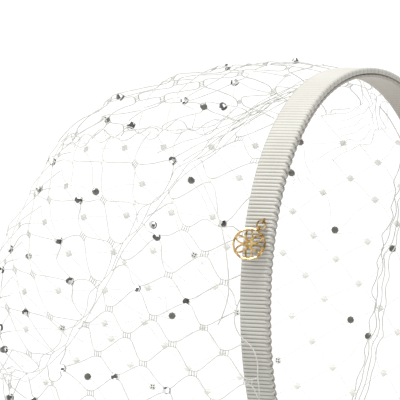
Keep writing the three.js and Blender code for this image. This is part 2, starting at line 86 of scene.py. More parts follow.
# Netting
THREAD, FAR_THREAD, BAR = 0.19, 0.085, 0.16
EDGE_THREAD = THREAD * 1.1
STEP = 1.2
KNOT_LENGTH, KNOT_HEIGHT, KNOT_SQUARENESS = 3.4, 2.2, 0.85
BAR_PLACES, BAR_LEAN = (-0.92, -0.31, 0.31, 0.92), 0.05
STAR_LENGTH, STAR_HEIGHT, STAR_WAIST, STAR_DEPTH = 0.8, 1.1, 0.45, 0.3
FAR_STAR = 1.28         # the far stars' size against the near ones'
NEAR_TIED = 0.3         # share of the near knots that are tied to stars, as all far ones are
LIFT = 0.45             # threads stand off the dome
SEAT = 1.15             # a stone's middle stands off its knot
SNAP_REACH, MOVE_SPREAD = 7.5, 6.0
KNOT_INSIDE = 0.6       # least distance of a knot from the border of its region
LOW_Z, HIGH_Z = -141, 1
PAST_MIDDLE, SIDE_OVERLAP = 26, 0.05
CREASE_GAP, FOLD_GAP, BAND_GAP = 0.3, 0.2, 0.45
MIDDLE_FADE = 20        # unevenness of the cells fades out this near the middle of the front

# Smaller stones
EXTRA_COUNT, EXTRA_APART, EXTRA_INSIDE, EXTRA_SEAT = 22, 19, 3, 0.75

# Ribs and edges of the ribbons
RIB_PITCH, RIB_POWER = 1.3, 2.2
CALM_TURN, CALM_FADE = 0.4, 0.65    # ribs are calm near the top: radians from it, and to full height
# At the top the ribs keep TOP_CALM of their relief and take the rib tone TOP_TONE, which evens out the
# painted groove shade there
TOP_CALM, TOP_TONE = 0.15, 0.4
SCALLOP_POWER, SCALLOP_LEVEL, CALM_SCALLOP = 0.7, 0.75, 0.25
FRONT_RIPPLE, DRIFT, DRIFT_LENGTH = 0.06, 0.036, 23.0
ACROSS = (-1, -0.8, -0.4, 0, 0.4, 0.8, 1)
EDGE_START, EDGE_ROUND = 0.8, 0.85
RIBBED_EDGE, PLAIN_EDGE, PLAIN_TONE = 0.18, 0.05, 0.6
# The outer ribbon's rear edge turns in over the core: how far back, how far down
REAR_CURL, CURL_WALL = [(0.2, 0.7), (0.15, 2.05)], 0.6

# Camera, as fitted to the photograph
AZIMUTH, ELEVATION, ROLL = math.radians(122.45), math.radians(3.95), math.radians(-1.13)
TARGET, DISTANCE = Vector((0, -0.06407, -0.04432)), 1.501
SENSOR, FOCAL_PIXELS, PHOTO_PIXELS = 36, 4184.6, 400


# The smooth form

def eased(t):
    """A share from 0 to 1, with level ends."""
    return t * t * (3 - 2 * t)


def smooth(xs, ys, at):
    """Smooth value of a table, one slope through each row."""
    at = np.clip(at, xs[0], xs[-1])
    i = np.clip(np.searchsorted(xs, at, side="right") - 1, 0, len(xs) - 2)
    last = len(xs) - 1

    def slope(k):
        low, high = np.maximum(k - 1, 0), np.minimum(k + 1, last)
        return (ys[high] - ys[low]) / (xs[high] - xs[low])

    w = xs[i + 1] - xs[i]
    t = (at - xs[i]) / w
    t2, t3 = t * t, t ** 3
    return ((2 * t3 - 3 * t2 + 1) * ys[i] + (t3 - 2 * t2 + t) * w * slope(i)
            + (3 * t2 - 2 * t3) * ys[i + 1] + (t3 - t2) * w * slope(i + 1))


def profile(turn):
    """The dome's radius in the side view, at degrees from straight up."""
    return CROWN_RADIUS + (REACH - CROWN_RADIUS) * smooth(TURNS, OUTS, turn)


def half_width(forward, z):
    """Half the dome's width, forward of the band and at a height."""
    up = z - WIDEST_Z
    turn = np.degrees(np.arctan2(np.abs(forward), up))
    share = np.minimum(np.hypot(forward, up) / profile(turn), 1)
    return HALF_WIDTH * (1 - share ** POWER) ** (1 / POWER)


def front_reach(z):
    """How far forward the dome comes at a height."""
    z = np.asarray(z, float)
    low, high = np.zeros_like(z), np.full_like(z, 2 * REACH)
    for _ in range(HALVINGS):
        mid = (low + high) / 2
        inner = np.hypot(mid, z - WIDEST_Z) < profile(np.degrees(np.arctan2(mid, z - WIDEST_Z)))
        low, high = np.where(inner, mid, low), np.where(inner, high, mid)
    return (low + high) / 2


at_row = np.arange(len(CREASE_DROP), dtype=float)
rows = np.linspace(0, len(CREASE_DROP) - 1, 45)
crease_z = BAND_WALL - BAND_RISE * smooth(at_row, CREASE_DROP, rows)
crease_f = front_reach(crease_z) * smooth(at_row, CREASE_FORWARD, rows)

# Level lines: for each height, places round from the middle of the front to the back
LEVELS = np.arange(LOW_Z - 1.0, HIGH_Z + 1.0, 1.0)
angle = np.linspace(0, math.pi / 2, 220)
level_f = front_reach(LEVELS)[:, None] * np.cos(angle)[None, :]
level_x = half_width(level_f, LEVELS[:, None])
level_x[:, 0] = 0
level_s = np.concatenate([np.zeros((len(LEVELS), 1)),
                          np.cumsum(np.hypot(np.diff(level_f), np.diff(level_x)), axis=1)], axis=1)


def on_level(from_front, z):
    """(x, forward) at a length round from the middle of the front, at one height."""
    z = min(max(z, LEVELS[0]), LEVELS[-1] - 0.001)
    k = int(z - LEVELS[0])
    t = z - LEVELS[k]
    total = level_s[k, -1] * (1 - t) + level_s[k + 1, -1] * t
    if from_front > total:
        return float(half_width(total - from_front, z)), total - from_front

    def between(table):
        low, high = (np.interp(abs(from_front) * level_s[m, -1] / total, level_s[m], table[m])
                     for m in (k, k + 1))
        return low * (1 - t) + high * t

    side = 1 if from_front >= 0 else -1
    return side * between(level_x), between(level_f)


def level_total(z):
    """Length round from the middle of the front to the back, at one height."""
    return float(np.interp(z, LEVELS, level_s[:, -1]))


def normal_at(p):
    """Outward normal of the dome near a point (x, y, z)."""
    x, f, up = p[..., 0], VEIL_BACK - p[..., 1], p[..., 2] - WIDEST_Z
    reach = profile(np.degrees(np.arctan2(np.abs(f), up)))
    rho = np.hypot(f, up) + SMALL
    gx = np.sign(x) * (np.abs(x) / HALF_WIDTH) ** (POWER - 1) / HALF_WIDTH
    gr = (rho / reach) ** (POWER - 1) / reach
    n = np.stack([gx, -gr * f / rho, gr * up / rho], axis=-1)
    return n / (np.linalg.norm(n, axis=-1, keepdims=True) + TINY)


def crease_height(f, x):
    near, far = np.interp(f, crease_f, crease_z), np.interp(f, FAR_F, FAR_Z)
    return far + (near - far) * eased(np.clip(np.asarray(x) / CREASE_BLEND + 0.5, 0, 1))


def fold_height(f):
    return np.interp(f, FOLD_F, FOLD_Z)


def hem_height(f):
    share = np.clip(np.asarray(f, float) / REACH, 0, 1)
    return -(REAR_DROP + (FRONT_DROP - REAR_DROP) * np.sin(share * math.pi / 2))


def rear_limit(z):
    """Where the side panel's rear edge is, forward of the band."""
    return np.interp(z, REAR_EDGE_Z, REAR_EDGE_F)


def sunk(p, side):
    """Points of a side panel, pressed in under the crease and tucked in beside the arm."""
    f = VEIL_BACK - p[:, 1]
    under = np.maximum(crease_height(f, p[:, 0]) - p[:, 2], 0)
    p = p - normal_at(p) * (SINK * np.exp(-under / SINK_FADE))[:, None]
    tuck = (TUCK if side > 0 else FAR_TUCK) * eased(np.clip((p[:, 2] - WIDEST_Z) / TUCK_FADE, 0, 1))
    p[:, 0] -= np.sign(p[:, 0]) * tuck * np.exp(-np.maximum(f, 0) / TUCK_FADE)
    return p


# Meshes from arrays

def mesh_object(name, verts, faces, material, smooth_faces=True):
    mesh = bpy.data.meshes.new(name)
    mesh.from_pydata((np.asarray(verts, float) * MM).tolist(), [], faces)
    mesh.update()
    if smooth_faces:
        mesh.polygons.foreach_set("use_smooth", [True] * len(mesh.polygons))
    mesh.materials.append(material)
    obj = bpy.data.objects.new(name, mesh)
    bpy.context.scene.collection.objects.link(obj)
    return obj


class Tubes:
    """Many round threads gathered into one mesh."""

    def __init__(self, sides=5):
        self.sides, self.verts, self.faces = sides, [], []

    def add(self, path, radius):
        path = np.asarray(path, float)
        apart = np.linalg.norm(np.diff(path, axis=0), axis=1) > 1e-4
        path = path[np.concatenate([[True], apart])]
        n = len(path)
        if n < 2:
            return
        ahead = np.gradient(path, axis=0)
        ahead /= np.linalg.norm(ahead, axis=1, keepdims=True) + TINY
        u = np.cross(ahead[0], [0.31, 0.57, 0.76])
        u /= np.linalg.norm(u)
        first, s = len(self.verts), self.sides
        turn = np.arange(s) * 2 * math.pi / s
        for k in range(n):
            u = u - ahead[k] * np.dot(u, ahead[k])
            u /= np.linalg.norm(u)
            v = np.cross(ahead[k], u)
            ring = path[k] + radius * (np.cos(turn)[:, None] * u + np.sin(turn)[:, None] * v)
            self.verts.extend(ring.tolist())
        for k in range(n - 1):
            a = first + k * s
            self.faces.extend([(a + m, a + (m + 1) % s, a + s + (m + 1) % s, a + s + m) for m in range(s)])
        self.faces.append(tuple(first + m for m in reversed(range(s))))
        self.faces.append(tuple(first + (n - 1) * s + m for m in range(s)))

    def make(self, name, material):
        return mesh_object(name, self.verts, self.faces, material)


def ring_solid(profile_rows, sides, place, outward, phase=0.0):
    """Vertices and faces of a turned form whose first and last rows close it, stood on a place."""
    turn = Vector((0, 0, 1)).rotation_difference(Vector(outward).normalized()).to_matrix()
    verts, faces = [], []
    for r, h in profile_rows:
        for k in range(sides):
            a = 2 * math.pi * k / sides + phase
            verts.append(tuple(Vector(place) + turn @ Vector((r * math.cos(a), r * math.sin(a), h))))
    for row in range(len(profile_rows) - 1):
        for k in range(sides):
            a, b = row * sides + k, row * sides + (k + 1) % sides
            faces.append((a, b, b + sides, a + sides))
    faces.append(tuple(reversed(range(sides))))
    faces.append(tuple(range((len(profile_rows) - 1) * sides, len(profile_rows) * sides)))
    return verts, faces


def gathered(solids):
    """The vertices and faces of several solids as one list of each."""
    verts, faces = [], []
    for v, f in solids:
        first = len(verts)
        verts.extend(v)
        faces.extend([tuple(first + k for k in face) for face in f])
    return verts, faces


def spline(points, step=STEP):
    """Points along one smooth curve through all the given ones."""
    p = np.asarray(points, float)
    ext = np.vstack([2 * p[0] - p[1], p, 2 * p[-1] - p[-2]])
    out = []
    for k in range(1, len(ext) - 2):
        a, b, c, d = ext[k - 1], ext[k], ext[k + 1], ext[k + 2]
        ab, bc, cd = (max(np.linalg.norm(q), 1e-6) ** 0.5 for q in (b - a, c - b, d - c))
        m1 = (b - a) / ab - (c - a) / (ab + bc) + (c - b) / bc
        m2 = (c - b) / bc - (d - b) / (bc + cd) + (d - c) / cd
        count = max(2, int(round(np.linalg.norm(c - b) / step)))
        t = np.linspace(0, 1, count, endpoint=False)[:, None]
        h = (2 * t ** 3 - 3 * t ** 2 + 1, t ** 3 - 2 * t ** 2 + t, 3 * t ** 2 - 2 * t ** 3, t ** 3 - t ** 2)
        out.append(h[0] * b + h[1] * bc * m1 + h[2] * c + h[3] * bc * m2)
    out.append(p[-1:])
    return np.vstack(out)


def clipped(path, value):
    """The stretches of a path where value(points) is positive, each ended on the border."""
    g = value(path)
    runs, run = [], []
    for k in range(len(path)):
        if k and (g[k] > 0) != (g[k - 1] > 0):
            t = g[k - 1] / (g[k - 1] - g[k])
            run.append(path[k - 1] * (1 - t) + path[k] * t)
            if g[k] <= 0:
                runs.append(run)
                run = []
        if g[k] > 0:
            run.append(path[k])
    if run:
        runs.append(run)
    return [np.array(r) for r in runs if len(r) > 2]


# The stones that the part gives, and the places on the dome under them

stone_nodes = sorted(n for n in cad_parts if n.startswith("stone_"))
stone_at = np.array([[(lo + hi) / 2 / MM for lo, hi in zip(*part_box(n))] for n in stone_nodes])
stone_out = normal_at(stone_at)
seats = stone_at - stone_out * SEAT


# Netting

tied_knots = []


def star(c, e1, e2):
    """A tightly tied knot: a small flat four-pointed star with closed faces."""
    n = normal_at(c)
    c = c + n * LIFT
    inner = (e1 + e2) * STAR_WAIST, (e2 - e1) * STAR_WAIST
    outline = [c + e1, c + inner[0], c + e2, c + inner[1], c - e1, c - inner[0], c - e2, c - inner[1]]
    faces = []
    for k in range(8):
        faces.extend([(k, (k + 1) % 8, 8), ((k + 1) % 8, k, 9)])
    return outline + [c + n * STAR_DEPTH, c - n * STAR_DEPTH], faces


class Net:
    """A lattice of knots, joined by threads that run along the sides of each knot."""

    def __init__(self, place, region, jitter, origin, a, b, spread_a, spread_b, radius=THREAD):
        a, b = np.array(a, float), np.array(b, float)
        self.place, self.region, self.radius = place, region, radius
        self.tied, self.star = (NEAR_TIED, 1.0) if radius == THREAD else (1.0, FAR_STAR)
        self.draws = np.random.default_rng(23)
        self.knots, self.chart, self.moves = {}, {}, []
        for i in range(*spread_a):
            for j in range(*spread_b):
                q = np.array(origin, float) + i * a + j * b
                q = q + jitter(q, rng.normal(size=2))
                p = place(q)
                if p is not None:
                    self.chart[i, j], self.knots[i, j] = q, p

    def snap(self, points):
        """Moves the nearest knot to each point that has one near by."""
        keys = list(self.knots)
        at = np.array([self.knots[k] for k in keys])
        outside = np.where(self.region(at) > 0, 0, 1e6)
        used = set()
        for p in points:
            d = np.linalg.norm(at - p, axis=1) + outside
            k = int(np.argmin(d))
            if d[k] < SNAP_REACH and k not in used:
                used.add(k)
                self.moves.append((at[k], p - at[k]))
                self.knots[keys[k]] = p

    def moved(self, path):
        """A path, drawn along by the knots that were moved."""
        out = path.copy()
        for centre, shift in self.moves:
            w = np.exp(-(np.linalg.norm(path - centre, axis=1) / MOVE_SPREAD) ** 2)
            out += w[:, None] * shift
        return out

    def frame_of(self, key):
        """A knot's middle and half its length and height, or None at the lattice's edge."""
        i, j = key
        c = self.knots[key]
        near = [self.knots.get(k) for k in ((i + 1, j), (i, j + 1), (i - 1, j), (i, j - 1))]
        if any(q is None for q in near):
            return None
        e1 = (near[0] - near[1]) + (near[3] - near[2])
        e2 = (near[2] + near[3]) - (near[0] + near[1])
        n = normal_at(c)
        e1 = e1 - n * np.dot(e1, n)
        e1 /= np.linalg.norm(e1) + SMALL
        e2 = e2 - n * np.dot(e2, n)
        e2 = e2 - e1 * np.dot(e2, e1) * KNOT_SQUARENESS
        e2 /= np.linalg.norm(e2) + SMALL
        return c, e1 * KNOT_LENGTH / 2, e2 * KNOT_HEIGHT / 2

    def tie(self, tubes, c, e1, e2):
        """Ties one knot, as a star or as a ladder of four short bars."""
        leans = rng.normal(0, BAR_LEAN, len(BAR_PLACES))
        if self.draws.random() < self.tied:
            tied_knots.append(star(c, e1 * STAR_LENGTH * self.star, e2 * STAR_HEIGHT * self.star))
            return
        for share, lean in zip(BAR_PLACES, leans):
            bar = np.array([c + e1 * share - e2, c + e1 * (share + lean), c + e1 * share + e2])
            tubes.add(bar + normal_at(c) * LIFT, BAR)

    def build(self, tubes):
        frames = {k: self.frame_of(k) for k in self.knots}
        for knot in frames.values():
            if knot is not None and self.region(knot[0][None, :])[0] >= KNOT_INSIDE:
                self.tie(tubes, *knot)
        for row in sorted({i + j for i, j in self.knots}):
            chain = []
            for i, j in sorted(k for k in self.knots if sum(k) == row):
                for key, side in (((i, j), 1), ((i, j - 1), -1)):
                    if frames.get(key) is None:
                        self.thread(tubes, chain)
                        chain = []
                        continue
                    c, e1, e2 = frames[key]
                    if chain:
                        middle = self.place((self.chart[key] + chain[-1][1]) / 2)
                        if middle is not None:
                            chain.append((self.moved(middle[None, :])[0], self.chart[key]))
                    chain.append((c - e1 + side * e2, self.chart[key]))
                    chain.append((c + e1 + side * e2, self.chart[key]))
            self.thread(tubes, chain)

    def thread(self, tubes, chain):
        """Adds the stretches of one thread that lie in the net's region."""
        if len(chain) < 3:
            return
        for run in clipped(spline([point for point, _ in chain]), self.region):
            tubes.add(run + normal_at(run) * LIFT, self.radius)


def side_place(side):
    def place(q):
        """A place on a side panel: length round from the back, and height."""
        z = q[1]
        if not LOW_Z < z < HIGH_Z:
            return None
        from_front = level_total(z) - q[0]
        if from_front < -PAST_MIDDLE:
            return None
        x, f = on_level(from_front, z)
        return sunk(np.array([[side * x, VEIL_BACK - f, z]]), side)[0]
    return place


def side_region(side):
    def region(p):
        """Under the crease, above the hem and in front of the rear edge."""
        f = VEIL_BACK - p[:, 1]
        inside = np.minimum(crease_height(f, p[:, 0]) - p[:, 2] - CREASE_GAP, p[:, 2] - hem_height(f))
        return np.minimum(np.minimum(inside, f - rear_limit(p[:, 2])), side * p[:, 0] + SIDE_OVERLAP)
    return region


def front_place(side):
    def place(q):
        """A place on the front: length round from its middle, and height."""
        round_front, z = side * q[0], q[1]
        if not LOW_Z < z < HIGH_Z or not abs(round_front) < level_total(z) - 0.5:
            return None
        x, f = on_level(abs(round_front), z)
        return np.array([math.copysign(1, round_front) * x, VEIL_BACK - f, z])
    return place


def front_region(side):
    def region(p):
        """Above the crease and under the fold."""
        f = VEIL_BACK - p[:, 1]
        inside = np.minimum(p[:, 2] - crease_height(f, p[:, 0]) - CREASE_GAP,
                            fold_height(f) - p[:, 2] - FOLD_GAP)
        return np.minimum(inside, side * p[:, 0] + SIDE_OVERLAP)
    return region


def crown_place(q):
    """A place on the crown: across, and degrees from straight up."""
    x, turn = q
    if abs(x) > 66 or not -12 < turn < 100:
        return None
    share = (1 - (abs(x) / HALF_WIDTH) ** POWER) ** (1 / POWER)
    radius = float(profile(np.array(abs(turn)))) * share
    return np.array([x, VEIL_BACK - radius * math.sin(math.radians(turn)),
                     WIDEST_Z + radius * math.cos(math.radians(turn))])


def crown_region(p):
    """Above the fold and in front of the band."""
    f = VEIL_BACK - p[:, 1]
    return np.minimum(p[:, 2] - fold_height(f) - FOLD_GAP, f - BAND_GAP)


def wave(q, size, phase):
    """A slow drift of the lattice, so that its rows aren't straight."""
    along = math.sin(q[0] / 9.1 + q[1] / 13.0 + phase)
    across = math.sin(q[1] / 7.7 - q[0] / 15.0 + 2 * phase)
    return size * np.array([along, across])


def side_jitter(phase):
    def jitter(q, noise):
        fade = min(1, max(0, (level_total(q[1]) - q[0]) / MIDDLE_FADE))
        return (0.35 * noise + wave(q, 0.5, phase)) * fade
    return jitter


def front_jitter(phase):
    return lambda q, noise: (0.5 * noise + wave(q, 0.7, phase)) * min(1, abs(q[0]) / MIDDLE_FADE)


def crown_jitter(q, noise):
    return np.array([1.2, 0.8]) * noise + wave(q, 1.6, 0.6)


def thread_of(side):
    return THREAD if side > 0 else FAR_THREAD


nets = []
for name, side, phase in (("net_near", 1, 0.4), ("net_far", -1, 2.1)):
    nets.append((name, Net(
        side_place(side), side_region(side), side_jitter(phase), origin=(22.6, -48.3),
        a=(-8.0, -9.0), b=(13.4, -6.6), spread_a=(-14, 16), spread_b=(-6, 18), radius=thread_of(side))))
for name, side, phase in (("net_front_near", 1, 1.3), ("net_front_far", -1, 2.9)):
    nets.append((name, Net(
        front_place(side), front_region(side), front_jitter(phase), origin=(74.25, -28.0),
        a=(16.5, -13.3), b=(-16.5, 0), spread_a=(-4, 9), spread_b=(-10, 16), radius=thread_of(side))))
nets.append(("net_crown", Net(
    crown_place, crown_region, crown_jitter, origin=(6.75, 5.0),
    a=(13.5, 0), b=(0, 9.0), spread_a=(-8, 8), spread_b=(-3, 12))))


# Materials

def material(name, rough, metal=0.0, spec=0.5):
    mat = bpy.data.materials.new(name)
    mat.use_nodes = True
    shader = mat.node_tree.nodes["Principled BSDF"]
    shader.inputs["Roughness"].default_value = rough
    shader.inputs["Metallic"].default_value = metal
    shader.inputs["Specular IOR Level"].default_value = spec
    return mat, mat.node_tree, shader


def node(tree, kind, **values):
    made = tree.nodes.new(kind)
    for key, value in values.items():
        if key in made.inputs:
            made.inputs[key].default_value = value
        else:
            setattr(made, key, value)
    return made


def ramp(tree, stops):
    made = tree.nodes.new("ShaderNodeValToRGB")
    points = made.color_ramp.elements
    points[0].position, points[0].color = stops[0][0], (*stops[0][1], 1)
    points[1].position, points[1].color = stops[-1][0], (*stops[-1][1], 1)
    for at, colour in stops[1:-1]:
        points.new(at).color = (*colour, 1)
    return made


def noise_colour(tree, shader, scale, stops):
    """Colours a shader by a fine noise, and gives the noise."""
    where = node(tree, "ShaderNodeTexCoord")
    noise = node(tree, "ShaderNodeTexNoise", Scale=scale, Detail=4.0)
    colours = ramp(tree, stops)
    tree.links.new(where.outputs["Object"], noise.inputs["Vector"])
    tree.links.new(noise.outputs["Fac"], colours.inputs["Fac"])
    tree.links.new(colours.outputs["Color"], shader.inputs["Base Color"])
    return noise


def bumped(tree, shader, height, strength, distance):
    bump = node(tree, "ShaderNodeBump", Strength=strength, Distance=distance)
    tree.links.new(height, bump.inputs["Height"])
    tree.links.new(bump.outputs["Normal"], shader.inputs["Normal"])


thread_mat, tree, shader = material("veil_thread", 0.55)
twist = noise_colour(tree, shader, 300, [(0.3, (0.39, 0.385, 0.36)), (0.7, (0.49, 0.485, 0.455))])
bumped(tree, shader, twist.outputs["Fac"], 0.4, 0.00005)
shader.inputs["Sheen Weight"].default_value = 0.15

knot_mat, tree, shader = material("veil_knot", 0.6)
noise_colour(tree, shader, 300, [(0.3, (0.52, 0.515, 0.485)), (0.7, (0.60, 0.595, 0.56))])


def ribbon_material(name, groove_shade, ridge):
    """Grosgrain coloured by the mesh's rib attribute: dark in the grooves as painted shade and a little
    lighter on the ridge crests as painted light, with a fine weave and faint clouds.
    """
    mat, tree, shader = material(name, 0.78, spec=0.25)
    link = tree.links.new
    rib = node(tree, "ShaderNodeAttribute", attribute_name="rib")
    colours = ramp(tree, [(0.0, groove_shade), (0.55, ridge), (1.0, tuple(min(1, c * 1.05) for c in ridge))])
    where = node(tree, "ShaderNodeTexCoord")
    weave = node(tree, "ShaderNodeTexNoise", Scale=2600.0, Detail=2.0)
    shade = ramp(tree, [(0.3, (0.90, 0.90, 0.90)), (0.7, (1.0, 1.0, 1.0))])
    cloud = node(tree, "ShaderNodeTexNoise", Scale=90.0, Detail=3.0)
    tone = ramp(tree, [(0.35, (0.95, 0.945, 0.93)), (0.65, (1.0, 1.0, 1.0))])
    link(rib.outputs["Fac"], colours.inputs["Fac"])
    colour = colours.outputs["Color"]
    for noise, tint in ((weave, shade), (cloud, tone)):
        mix = node(tree, "ShaderNodeMix", data_type="RGBA", blend_type="MULTIPLY")
        mix.inputs[0].default_value = 1.0
        link(where.outputs["Object"], noise.inputs["Vector"])
        link(noise.outputs["Fac"], tint.inputs["Fac"])
        link(colour, mix.inputs[6])
        link(tint.outputs["Color"], mix.inputs[7])
        colour = mix.outputs[2]
    link(colour, shader.inputs["Base Color"])
    bumped(tree, shader, weave.outputs["Fac"], 0.5, 0.00008)
    shader.inputs["Sheen Weight"].default_value = 0.2
    return mat


# Both ribbons are painted darker in their grooves and a little lighter on their ridge crests: painted shade
# and painted light of the ribs
ribbon_mat = ribbon_material("ribbon_ivory", (0.19, 0.18, 0.162), (0.43, 0.424, 0.388))
# The lining's colours are darker than the face ribbon's: painted shade for the band's inner side
lining_mat = ribbon_material("ribbon_lining_shaded_ivory", (0.19, 0.172, 0.15), (0.33, 0.305, 0.268))

gold_mat, tree, shader = material("gold_plate", 0.2, 1.0)
# The gold's colour is mottled from dark brown to pale gold by a fine noise: painted shade and highlights,
# standing for reflections that the even white surround does not give. The same noise also bumps the surface.
bumps_and_painted_reflections = noise_colour(tree, shader, 700, [
    (0.36, (0.20, 0.11, 0.028)), (0.5, (0.45, 0.28, 0.09)), (0.64, (0.68, 0.48, 0.21))])
bumped(tree, shader, bumps_and_painted_reflections.outputs["Fac"], 0.12, 0.00005)

core_mat, tree, shader = material("core_strip", 0.7)
noise_colour(tree, shader, 300, [(0.3, (0.34, 0.31, 0.28)), (0.7, (0.46, 0.43, 0.39))])

# Facets get a colour by the way they face: mostly near black, and some grey and near-white ones, which are
# painted reflections of cut glass
stone_mat, tree, shader = material("cut_glass", 0.06, 0.0, 1.0)
facing = node(tree, "ShaderNodeNewGeometry")
scaled = node(tree, "ShaderNodeVectorMath", operation="SCALE")
scaled.inputs["Scale"].default_value = 3.1
level = node(tree, "ShaderNodeVectorMath", operation="SNAP")
level.inputs[1].default_value = (0.22, 0.22, 0.22)
white = node(tree, "ShaderNodeTexWhiteNoise", noise_dimensions="3D")
painted_facet_glints = ramp(tree, [(0.0, (0.008, 0.008, 0.007)), (0.5, (0.03, 0.03, 0.027)),
                     (0.62, (0.3, 0.3, 0.28)), (0.8, (0.95, 0.95, 0.95))])
tree.links.new(facing.outputs["True Normal"], scaled.inputs[0])
tree.links.new(scaled.outputs["Vector"], level.inputs[0])
tree.links.new(level.outputs["Vector"], white.inputs["Vector"])
tree.links.new(white.outputs["Value"], painted_facet_glints.inputs["Fac"])
tree.links.new(painted_facet_glints.outputs["Color"], shader.inputs["Base Color"])

cup_mat, tree, shader = material("stone_cup", 0.35, 0.5)
noise_colour(tree, shader, 800, [(0.3, (0.07, 0.07, 0.06)), (0.7, (0.13, 0.13, 0.115))])


# The net's pieces

def finish_piece(obj, slot_name, *nodes):
    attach(obj, "root")
    if nodes:
        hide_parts(*nodes)


taken, knot_points = set(), []
for name, net in nets:
    net.snap(seats[[k for k in range(len(seats)) if k not in taken]])
    for centre, shift in net.moves:
        taken.add(int(np.argmin(np.linalg.norm(seats - (centre + shift), axis=1))))
    tubes = Tubes()
    net.build(tubes)
    knot_points.extend(p for p in net.knots.values() if net.region(p[None, :])[0] > EXTRA_INSIDE)
    finish_piece(tubes.make(name, thread_mat), "veil_net", "veil_net")
finish_piece(mesh_object("net_knots", *gathered(tied_knots), knot_mat, False), "veil_net", "veil_net")

folds = Tubes()


def crinkle(path, size, length, seed):
    """A path with small smooth waves, fading out at both ends."""
    own = np.random.default_rng(seed)
    s = np.concatenate([[0], np.cumsum(np.linalg.norm(np.diff(path, axis=0), axis=1))])
    phases = own.uniform(0, 2 * math.pi, (3, 3))
    out = path.copy()
    size = size * np.clip(s / 8, 0.3, 1) * np.clip((s[-1] - s) / 30, 0.12, 1)
    for axis in range(3):
        for m in range(3):
            waves = np.sin(s * 2 * math.pi / (length * (0.7 + 0.5 * m)) + phases[axis, m])
            out[:, axis] += size * waves / (1 + m)
    return out


def add_strand(path, size, length, seed, radius, every=1, step=1.4):
    """Adds one crinkled thread to the folds."""
    folds.add(spline(crinkle(path, size, length, seed)[::every], step), radius)


def dome_path(forward, z, side, depth):
    """Places on the dome given by forward and height, moved straight in by a depth."""
    f, z = np.asarray(forward, float), np.asarray(z, float)
    f = np.minimum(f, front_reach(z) - 0.02)
    p = np.stack([side * half_width(f, z), VEIL_BACK - f, z], axis=1)
    return p - normal_at(p) * depth


# Strands of the crease, closer together near its front end, and of the fold
last_f = crease_f[-1]
crease_places = np.concatenate([np.linspace(1.5, last_f * 0.9, 70),
                                last_f * (1 - 0.1 * np.linspace(1, 0, 20)[1:] ** 2)])
for strand, (lift, depth, size) in enumerate([(-1.0, 1.9, 0.5), (0.4, 1.0, 0.6), (2.2, 0.3, 0.8)]):
    for side in (1, -1):
        f = crease_places
        z = crease_height(f, side * CREASE_SIDE) + lift * np.clip(f / 18, 0, 1)
        add_strand(dome_path(f, z, side, depth), size, 26, 40 + strand + 10 * (side > 0),
                   0.7 * thread_of(side), every=2)
for strand, (lift, size) in enumerate([(-0.6, 1.2), (1.6, 1.5)]):
    for side in (1, -1):
        f = np.linspace(1.0, 128, 90)
        z = fold_height(f) + lift * np.clip(f / 14, 0.15, 1)
        add_strand(dome_path(f, z, side, 0.4), size, 17, 80 + strand + 10 * (side > 0),
                   0.85 * thread_of(side), every=2)

# Gathered threads that run in to the band's front edge on each side
for side, seed, count, radius, size in ((1, 5, 5, 0.15, 0.5), (-1, 6, 6, 0.11, 1.1)):
    own = np.random.default_rng(seed)
    for k in range(count):
        blend = k / (count - 1)
        x0 = 15 + 24.0 * k / (count - 1)
        z0 = WIDEST_Z + BAND_RISE * (1 - (x0 / BAND_HALF_WIDTH) ** BAND_POWER) ** (1 / BAND_POWER) - 1.5
        f = np.linspace(0.6, own.uniform(22, 46), 14)
        z1 = fold_height(f) * (1 - blend) + crease_height(f, side * CREASE_SIDE) * blend
        t = eased(np.clip(f / 16, 0, 1))
        x = x0 * (1 - t) + half_width(f, z1) * t
        path = np.stack([side * x, VEIL_BACK - f, z0 * (1 - t) + z1 * t], axis=1)
        add_strand(path, size, 15, 120 + k + 20 * (side > 0), radius, step=1.3)

# The lower edge, a doubled thread, and the panel's rear edges
for side in (1, -1):
    f = REACH * np.cos(np.linspace(0, math.pi / 2, 60))
    corner = hem_height(0.0)
    for lift in (0.0, 1.0):
        path = dome_path(f, hem_height(f) + lift, side, 0.4)
        back = np.array([[side * half_width(-k, np.array(corner)), VEIL_BACK + k, corner + lift]
                         for k in (2.0, 4.0, 6.0, 8.3)])
        folds.add(spline(np.vstack([path, back]), 1.5), EDGE_THREAD)
    z = np.linspace(-10, -REAR_DROP, 50)
    limit = rear_limit(z)
    path = sunk(np.stack([side * half_width(limit, z), VEIL_BACK - limit, z], axis=1), side)
    add_strand(path, 0.25, 19, 160 + (side > 0), EDGE_THREAD, every=2)

# Where the net turns over: one thread beside the near arm, four strands on the far side
near_turn = np.array([[57.6, -29.5, -27.5], [61.6, -21.5, -37.5], [65.9, -14.3, -46.6], [69, -9.8, -59.5],
                      [70.4, -8.8, -70.5], [70.9, -11.2, -78.0], [70.8, -12.9, -80.8]])
far_turn = np.array([[-61, -16.5, -34], [-66.5, -24.0, -55], [-69.0, -31.0, -72], [-69.4, -34.0, -92],
                     [-69.0, -39.0, -112], [-68.4, -44.0, -127]])
folds.add(spline(near_turn), EDGE_THREAD)
for k, shift in enumerate((0.0, 1.6, 3.6, 6.0)):
    add_strand(spline(far_turn + [0.25 * shift, shift, 0], 3), 0.7, 16, 180 + k, EDGE_THREAD)
finish_piece(folds.make("net_folds", thread_mat), "veil_net")


# Stones: dark cups behind them, and the smaller ones

cups = [ring_solid([(0.55, -0.55), (1.15, -0.35), (1.3, 0.1)], 12, c - n * 0.96, n)
        for c, n in zip(stone_at, stone_out)]
finish_piece(mesh_object("stone_cups", *gathered(cups), cup_mat, False), "headband_core")

